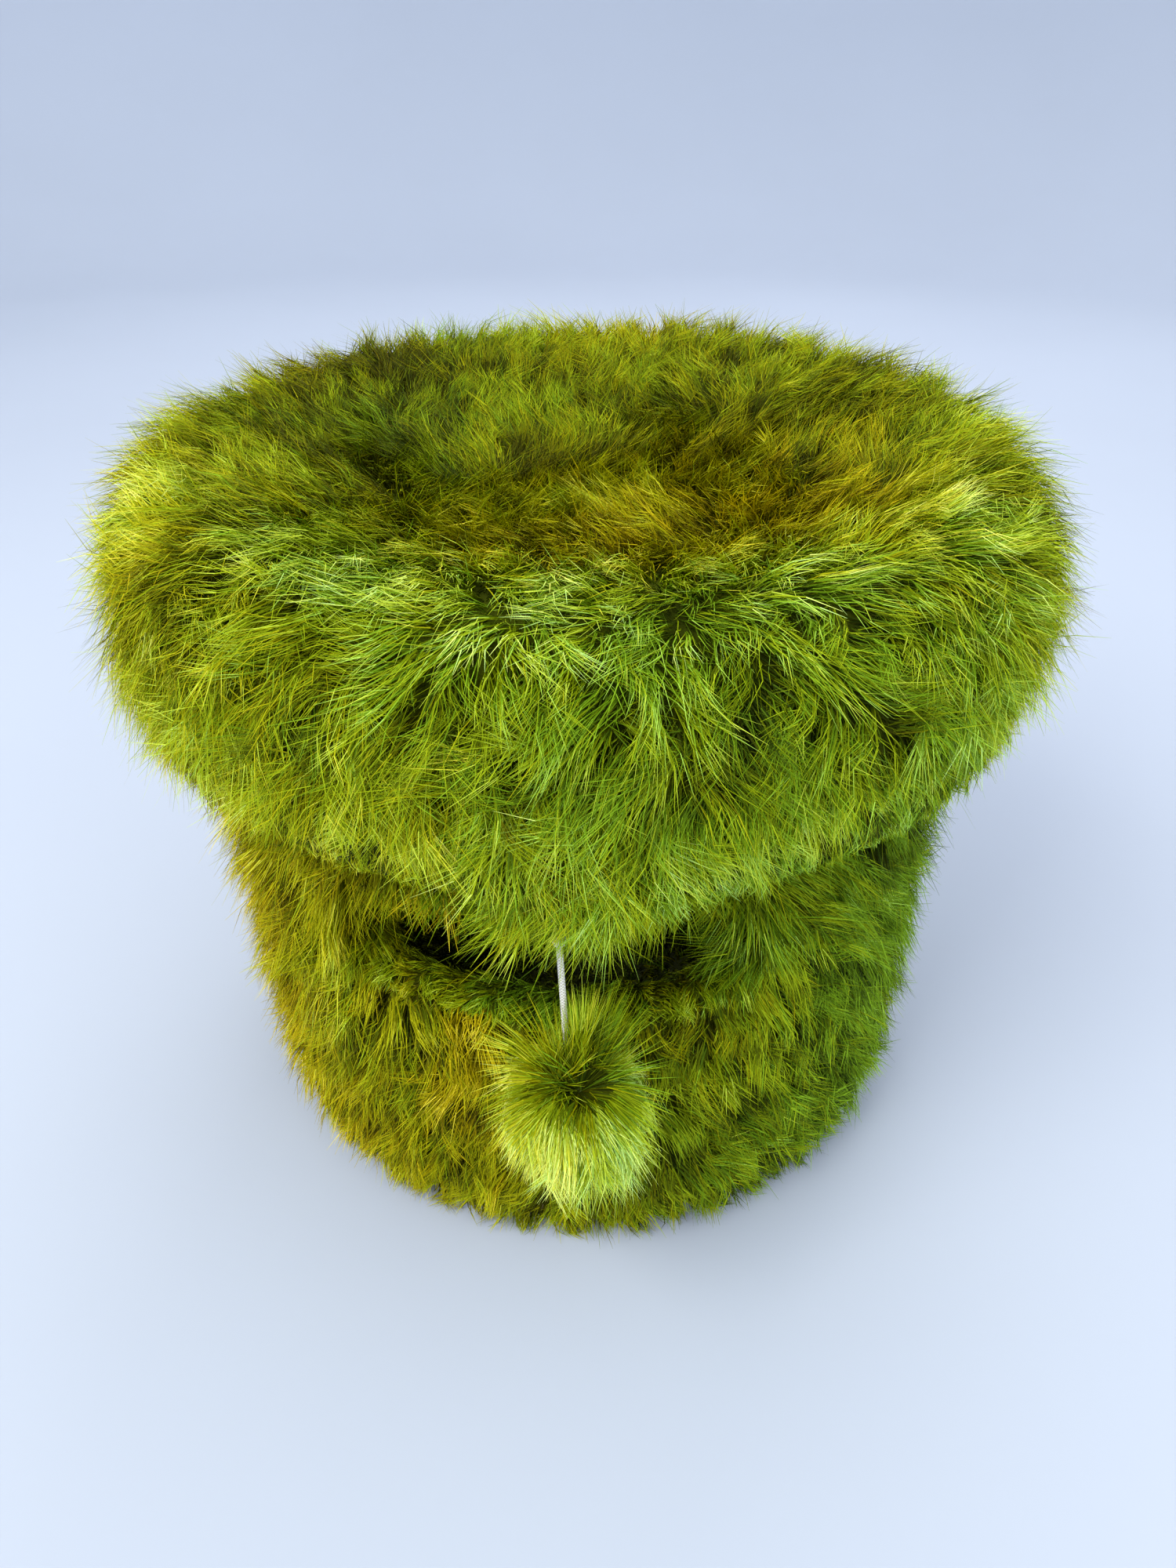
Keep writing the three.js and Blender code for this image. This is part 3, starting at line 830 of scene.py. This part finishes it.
def drumRule(place, normal):
    tall = smooth(0.0, 0.21, place.z)
    base = smooth(0.045, 0.004, place.z)
    swirl = noise.noise(place * 12 + Vector((9, 2, 4))) * 1.1 + noise.noise(place * 40) * 0.6
    way = Matrix.Rotation(swirl, 3, normal) @ Vector((0, 0, -1))
    wide = noise.noise(place * 8 + Vector((1, 4, 8)))
    patch = noise.noise(place * 24 + Vector((2, 3, 9)))
    door = doorDistance(place.x, place.z) if place.y < 0 else 1.0
    sill = smooth(0.02, 0.0, door) * (1 if place.z < doorMiddle.z else 0)
    left = smooth(0.0, -0.14, place.x)
    golden = smooth(0.018, 0.004, abs(place.x + 0.03)) * smooth(0.07, 0.1, place.z) * inFront(place)
    return {
        "comb": way,
        "pile": mix(mix(0.025, 0.031 + 0.006 * left, tall), 0.016, base) * (1 + 0.14 * wide)
        * (1 - 0.25 * sill),
        "lean": mix(1.36, 1.12, tall) + 0.16 * wide - 0.05 * sill,
        "cover": 1.0 + 0.5 * sill,
        "hue": 0.5 + 0.2 * wide + 0.1 * patch + 2.7 * place.x - 0.4 * golden,
        # tone offsets: patch is tone that differs at random; the left side and the doorway's sill are painted
        # lighter as light falling on them
        "toneAndPaintedLight": 0.35 * left + 0.6 * patch + 0.2 * sill + 0.4 * golden,
    }


def drumSheet(name, radiusAt, bottom, top, around, rows, margin):
    # an upright sheet round the den with the doorway left out, its faces outwards
    mesh = bpy.data.meshes.new(name)
    cell = (top - bottom) / rows
    verts, faces, gone = [], [], []
    for row in range(rows + 1):
        for k in range(around):
            z = bottom + cell * row
            radius = radiusAt(z)
            angle = 2 * math.pi * k / around
            x, y = radius * math.cos(angle), radius * math.sin(angle)
            edge = doorDistance(x, z) - margin if y < 0 else 1.0
            gone.append(edge < -0.6 * cell)
            if abs(edge) < 0.6 * cell:  # the nearest points move onto the doorway's edge
                step = 1e-4
                slopeX = (doorDistance(x + step, z) - margin - edge) / step
                slopeZ = (doorDistance(x, z + step) - margin - edge) / step
                x, z = x - edge * slopeX, z - edge * slopeZ
                y = -math.sqrt(radius ** 2 - x ** 2)
            verts.append((x, y, z))
    for row in range(rows):
        for k in range(around):
            j = (k + 1) % around
            face = (row * around + k, row * around + j, (row + 1) * around + j, (row + 1) * around + k)
            middle = sum((Vector(verts[i]) for i in face), Vector()) / 4
            inDoor = middle.y < 0 and doorDistance(middle.x, middle.z) < margin
            if not inDoor and not any(gone[i] for i in face):
                faces.append(face)
    mesh.from_pydata(verts, [], faces)
    tidy = bmesh.new()
    tidy.from_mesh(mesh)
    bmesh.ops.delete(tidy, geom=[v for v in tidy.verts if not v.link_faces], context="VERTS")
    tidy.to_mesh(mesh)
    tidy.free()
    smoothFaces(mesh)
    return mesh


def makeDrum(setup):
    def radiusAt(z):
        return setup["skin"] - 0.005 * smooth(0.035, 0.0, z - setup["bottom"])

    mesh = drumSheet("drum_cover", radiusAt, setup["bottom"], setup["top"], setup["around"],
                     setup["rows"], 0.0)
    for vertex in mesh.vertices:
        vertex.co += vertex.normal * noise.noise(vertex.co * 20 + Vector((2, 2, 2))) * 0.0015
    mesh.update()
    dressSkin(mesh, drumRule)
    skin = addPiece("drum_cover", mesh, [backing])
    growSectors("drum_fur", skin, drumHair, "stool", 4)
    thicken(skin, 0.003)
    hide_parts("drum_fur_cover")
    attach(skin, "stool")


makeDrum(drumSetup)
print("drum made")


doorSetup = {
    "inset": 0.0015,  # from the opening's edge to the roll's middle
    "inner": 0.1375,
    "outer": 0.1475,
    "around": 150,
    "sides": 12,
}

doorHair = {"Strands": 1500000, "Locks": 22000, "Seed": 12, "Width": 0.0006, "Gather": 0.8, "Swirl": 0.8,
            "Bend": 0.4, "Wave": 0.06, "Frizz": 0.08, "Root Lean": 0.95, "Undercoat": 0.45}


def doorOutline(steps, corner):
    # the doorway's outline seen from the front, evenly stepped, counterclockwise
    halfX, halfZ = doorHalf.x, doorHalf.z
    line = []
    for turn, (sx, sz) in enumerate(((1, -1), (1, 1), (-1, 1), (-1, -1))):
        for i in range(9):
            angle = math.pi / 2 * (turn - 1 + i / 8)
            line.append(Vector((sx * (halfX - corner) + corner * math.cos(angle),
                                sz * (halfZ - corner) + corner * math.sin(angle))))
    line.append(line[0])
    middle = Vector((doorMiddle.x, doorMiddle.z))
    return [point + middle for point in evenSteps(line, steps)[:-1]]


def doorRule(place, normal):
    inwards = Vector((doorMiddle.x - place.x, 0, doorMiddle.z - place.z)) * 10
    stray = noise.noise_vector(place * 30) * 0.9
    lower = smooth(doorMiddle.z, doorMiddle.z - doorHalf.z, place.z)
    outer = smooth(doorSetup["inner"], doorSetup["outer"], place.xy.length)
    over = Vector((0.7 if place.x > 0.01 else -0.7, -0.9, -0.5)) * lower
    low = lower * smooth(0.05, 0.0, abs(place.x))
    return {
        "comb": inwards * (1 - lower) + over + stray + Vector((0, -0.2, -0.3 - 0.9 * (1 - lower))),
        "pile": mix(0.029, 0.0105, lower) * (1 + 0.2 * noise.noise(place * 20)),
        "lean": mix(1.25, 1.4, lower),
        "cover": 1.0,
        "hue": 0.6 + 2.2 * place.x + 0.3 * noise.noise(place * 20) + 0.3 * low,
        # tone offset: the hair on the inner side is painted darker as shade inside the den, and the upper hair
        # left of the middle painted darker as shade under the seat
        "toneAndPaintedLight": mix(-0.2, 0.7, outer) + (0.5 * smooth(0.0, 0.05, place.x) - 0.5) * (1 - lower),
    }


def makeDoorway(setup):
    # a soft roll round the doorway's edge, from inside the lining to the fur cover
    mesh = bpy.data.meshes.new("doorway_roll")
    outline = doorOutline(setup["around"], drumSetup["doorCorner"])
    middleRadius = (setup["inner"] + setup["outer"]) / 2
    halfDepth = (setup["outer"] - setup["inner"]) / 2 + 0.001
    count, sides = setup["around"], setup["sides"]
    verts, faces = [], []
    for k, point in enumerate(outline):
        before, after = outline[k - 1], outline[(k + 1) % count]
        way = (after - before).normalized()
        outwards = Vector((way.y, -way.x))
        for m in range(sides):
            angle = 2 * math.pi * m / sides
            flat = point + outwards * (setup["inset"] + 0.0035 * math.cos(angle))
            radius = middleRadius + halfDepth * math.sin(angle)
            verts.append((flat.x, -math.sqrt(radius ** 2 - flat.x ** 2), flat.y))
    for k in range(count):
        for m in range(sides):
            n, j = (m + 1) % sides, (k + 1) % count
            faces.append((k * sides + m, k * sides + n, j * sides + n, j * sides + m))
    mesh.from_pydata(verts, [], faces)
    smoothFaces(mesh)
    tidy = bmesh.new()
    tidy.from_mesh(mesh)
    bmesh.ops.recalc_face_normals(tidy, faces=tidy.faces)
    tidy.to_mesh(mesh)
    tidy.free()
    dressSkin(mesh, doorRule)
    roll = addPiece("doorway_roll", mesh, [backing])
    grow("doorway_fur", roll, doorHair, "stool")
    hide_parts("doorway_binding")
    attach(roll, "stool")


makeDoorway(doorSetup)
print("doorway made")


liningSetup = {"around": 120, "rows": 32, "doorMargin": 0.002}

liningHair = {"Strands": 120000, "Locks": 9000, "Seed": 21, "Width": 0.0011, "Gather": 0.6, "Swirl": 0.8,
              "Bend": 0.3, "Wave": 0.05, "Frizz": 0.12, "Root Lean": 0.5, "Undercoat": 0.5, "Floor": 0.02}


def liningRule(place, normal):
    wide = noise.noise(place * 12)
    return {
        "comb": Vector((0, 0, -1)) + noise.noise_vector(place * 20) * 0.8,
        "pile": 0.012 * (1 + 0.2 * wide),
        "lean": 1.3,
        "cover": 1.0,
        "hue": 0.45 + 0.3 * wide,
        # tone offset: the lining's hair is made lighter as painted light, standing in for light that does not
        # reach into the den
        "toneAndPaintedLight": 1.4,
    }


def makeLining(setup):
    low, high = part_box("drum_lining")
    mesh = drumSheet("den_lining", lambda z: high.x - 0.003, low.z, high.z, setup["around"], setup["rows"],
                     setup["doorMargin"])
    mesh.flip_normals()
    dressSkin(mesh, liningRule)
    lining = addPiece("den_lining", mesh, [denPlush])
    grow("den_lining_fur", lining, liningHair, "stool")
    thicken(lining, 0.0025)
    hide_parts("drum_lining")
    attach(lining, "stool")


makeLining(liningSetup)
print("lining made")


cushionSetup = {
    "inset": 0.004,  # how much smaller it starts than it ends
    "edge": 0.011,
    "crown": 0.004,
    "voxel": 0.0055,
    "pressure": 4.0,
    "swell": 0.005,  # no point moves further than this
    "frames": 20,
}

cushionHair = {"Strands": 300000, "Locks": 16000, "Seed": 31, "Width": 0.001, "Gather": 0.6, "Swirl": 0.9,
               "Bend": 0.3, "Wave": 0.05, "Frizz": 0.12, "Root Lean": 0.3, "Undercoat": 0.5, "Floor": 0.02}


def cushionRule(place, normal):
    wide = noise.noise(place * 12 + Vector((6, 6, 6)))
    return {
        "comb": Vector((0.2, -1, 0)) + noise.noise_vector(place * 22) * 1.2,
        "pile": 0.011 * (1 + 0.2 * wide),
        "lean": 1.0 + 0.2 * wide,
        "cover": smooth(-0.2, 0.5, normal.z),
        "hue": 0.5 + 0.3 * wide,
        # tone offset: the cushion's hair is made lighter as painted light, standing in for light that does not
        # reach into the den
        "toneAndPaintedLight": 1.2,
    }


def swell(piece, setup):
    # blows the pad up like a stuffed cover, then holds every point near where it began
    start = [vertex.co.copy() for vertex in piece.data.vertices]
    cloth = piece.modifiers.new("stuffing", "CLOTH")
    cloth.settings.use_pressure = True
    cloth.settings.uniform_pressure_force = setup["pressure"]
    cloth.settings.effector_weights.gravity = 0
    cloth.point_cache.frame_end = setup["frames"]
    scene = bpy.context.scene
    for frameNumber in range(1, setup["frames"] + 1):
        scene.frame_set(frameNumber)
    swollen = finishedMesh(piece)
    piece.modifiers.remove(cloth)
    scene.frame_set(1)
    for vertex, begun, ended in zip(piece.data.vertices, start, swollen.vertices):
        move = ended.co - begun
        vertex.co = begun + move * min(1.0, setup["swell"] / max(move.length, 1e-9))
    bpy.data.meshes.remove(swollen)
    piece.data.update()


def makeCushion(setup):
    low, high = cushionLow, cushionHigh
    outer = high.x - setup["inset"]
    bottom, top = low.z + 0.002, high.z - setup["inset"]
    line = [(0, top), (outer * 0.5, top - 0.2 * setup["crown"]), (outer * 0.8, top - setup["crown"])]
    middle = (top - setup["crown"] + bottom) / 2
    half = middle - bottom
    for i in range(9):
        angle = math.pi / 2 * (1 - i / 4)
        radius = outer - setup["edge"] + setup["edge"] * math.cos(angle)
        line.append((radius, middle + half * math.sin(angle)))
    line.append((0, bottom))
    mesh = revolve("den_cushion_pad", line, 96)
    pad = addPiece("den_cushion_pad", mesh)
    even = pad.modifiers.new("even", "REMESH")
    even.mode = "VOXEL"
    even.voxel_size = setup["voxel"]
    bpy.context.view_layer.update()
    remade = finishedMesh(pad)
    pad.modifiers.remove(even)
    pad.data = remade
    swell(pad, setup)
    smoothFaces(pad.data)
    for vertex in pad.data.vertices:
        vertex.co.z = max(vertex.co.z, low.z)
    dressSkin(pad.data, cushionRule)
    pad.data.materials.clear()
    pad.data.materials.append(denPlush)
    grow("den_cushion_fur", pad, cushionHair, "stool")
    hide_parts("den_cushion")
    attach(pad, "stool")


makeCushion(cushionSetup)
print("den cushion made")


pompomHair = {"Strands": 3900000, "Locks": 90000, "Seed": 9, "Width": 0.00048, "Gather": 0.75, "Swirl": 0.35,
              "Bend": 0.25, "Wave": 0.04, "Frizz": 0.05, "Root Lean": 0.45, "Undercoat": 0.22}


def pompomRule(place, normal):
    height = normal.z
    wide = noise.noise(place * 30)
    around = Vector((place.x - pompomCentre.x, place.y - pompomCentre.y, 0)) * 80
    crown = smooth(0.74, 0.95, height)
    matted = noise.noise_vector(place * 160 + Vector((3, 1, 2))) * 0.9
    behind = smooth(0.0, 0.009, place.y - pompomCentre.y)
    return {
        "comb": around * mix(1.0, -0.9, crown) + matted * crown
        + Vector((0.1 * wide, 0, -1.0)) * (1 - crown),
        "pile": 0.0305 * (1 + 0.08 * wide) * mix(1.0, 1.12 - 0.6 * behind, crown)
        * (1 + 0.2 * normal.x) * mix(1.0, 0.8, smooth(0.0, -0.9, height)) * mix(1.0, 0.75, behind),
        "lean": mix(0.3, 2.15, smooth(-0.9, 0.4, height)) - 1.5 * crown + 0.1 * wide,
        "cover": 1.0 + 1.4 * crown,
        "hue": 0.55 + 0.15 * wide + 14 * (place.x - pompomCentre.x),
        # tone offset: the strands' own light colour with a painted gloss highlight laid over it, and the crown
        # painted darker as shade where one looks in among the roots
        "toneAndPaintedLight": 2.4 - 1.9 * smooth(0.7, 0.92, height),
    }


def makePompom():
    radius = cordSetup["coreRadius"]
    line = [(radius * math.sin(math.pi * i / 20), radius * math.cos(math.pi * i / 20)) for i in range(21)]
    line[0], line[-1] = (0, radius), (0, -radius)
    mesh = revolve("pompom_bind", line, 40)
    mesh.transform(Matrix.Translation(pompomCentre))
    mesh.update()
    dressSkin(mesh, pompomRule)
    skin = addPiece("pompom_bind", mesh, [yarn])
    hair = grow("pompom_fur_tuft", skin, pompomHair, "pompom")
    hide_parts("pompom_fur")
    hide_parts("pompom_core")
    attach(skin, "pompom")
    return skin, hair


pompomBind, pompomTuft = makePompom()
tuple(cordLine[0])
[tuple(p) for p in cordLine]
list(cordKnots)
print("pompom made")


studio = {
    "floor": (194, 203, 218),
    "floorRadius": 2.2,
    "bend": 0.9,  # how gently the floor turns up into the wall
    "wallTop": 2.4,
    "sky": (0.93, 0.96, 1.0, 1),
    "skyStrength": 0.93,
    "lamps": [
        # name, place, size, watts, colour
        ("key", (-0.9, -1.3, 1.9), 1.2, 38, (1.0, 0.98, 0.92)),
        ("fill", (1.4, -1.2, 1.2), 1.6, 12, (0.96, 0.98, 1.0)),
        ("back", (0.3, 1.6, 1.8), 1.4, 14, (0.98, 0.98, 1.0)),
    ],
}


def makeStudio(setup):
    # a round floor that turns up into a wall, so every side of the stool has the same plain backdrop
    radius, bend = setup["floorRadius"], setup["bend"]
    line = [(radius + bend, setup["wallTop"])]
    for i in range(13):
        angle = math.pi / 2 * i / 12
        line.append((radius + bend * math.cos(angle), bend - bend * math.sin(angle)))
    line.append((0, 0))
    mesh = revolve("studio_floor", line, 96)
    mesh.flip_normals()
    paler = [part + 4 for part in setup["floor"]]
    paper = mottled("studio_paper", setup["floor"], paler, 1.5, 0.85)
    addPiece("studio_floor", mesh, [paper])
    world = bpy.data.worlds.new("studio_sky")
    world.use_nodes = True
    world.node_tree.nodes["Background"].inputs["Color"].default_value = setup["sky"]
    world.node_tree.nodes["Background"].inputs["Strength"].default_value = setup["skyStrength"]
    bpy.context.scene.world = world
    bpy.context.scene.view_settings.view_transform = "Standard"
    for name, place, size, watts, colour in setup["lamps"]:
        data = bpy.data.lights.new(name, "AREA")
        data.size = size
        data.energy = watts
        data.color = colour
        lamp = bpy.data.objects.new(name, data)
        lamp.location = place
        lamp.rotation_euler = (Vector((0, 0, 0.2)) - Vector(place)).to_track_quat("-Z", "Y").to_euler()
        bpy.context.scene.collection.objects.link(lamp)


makeStudio(studio)

finishes = {"zinc_steel": zinc, "board": fibreboard, "drum_card": card, "foam": seatFoam,
            "wadding": wadding, "base_cloth": baseCloth, "foot_rubber": footRubber,
            "den_plush": denPlush}
for part in frame["record"]["subparts"]:
    finish = finishes.get(part["material_slot"])
    for place in frame["nodes"][part["node"]].material_slots if finish else ():
        place.material = finish
print("lights and floor made")
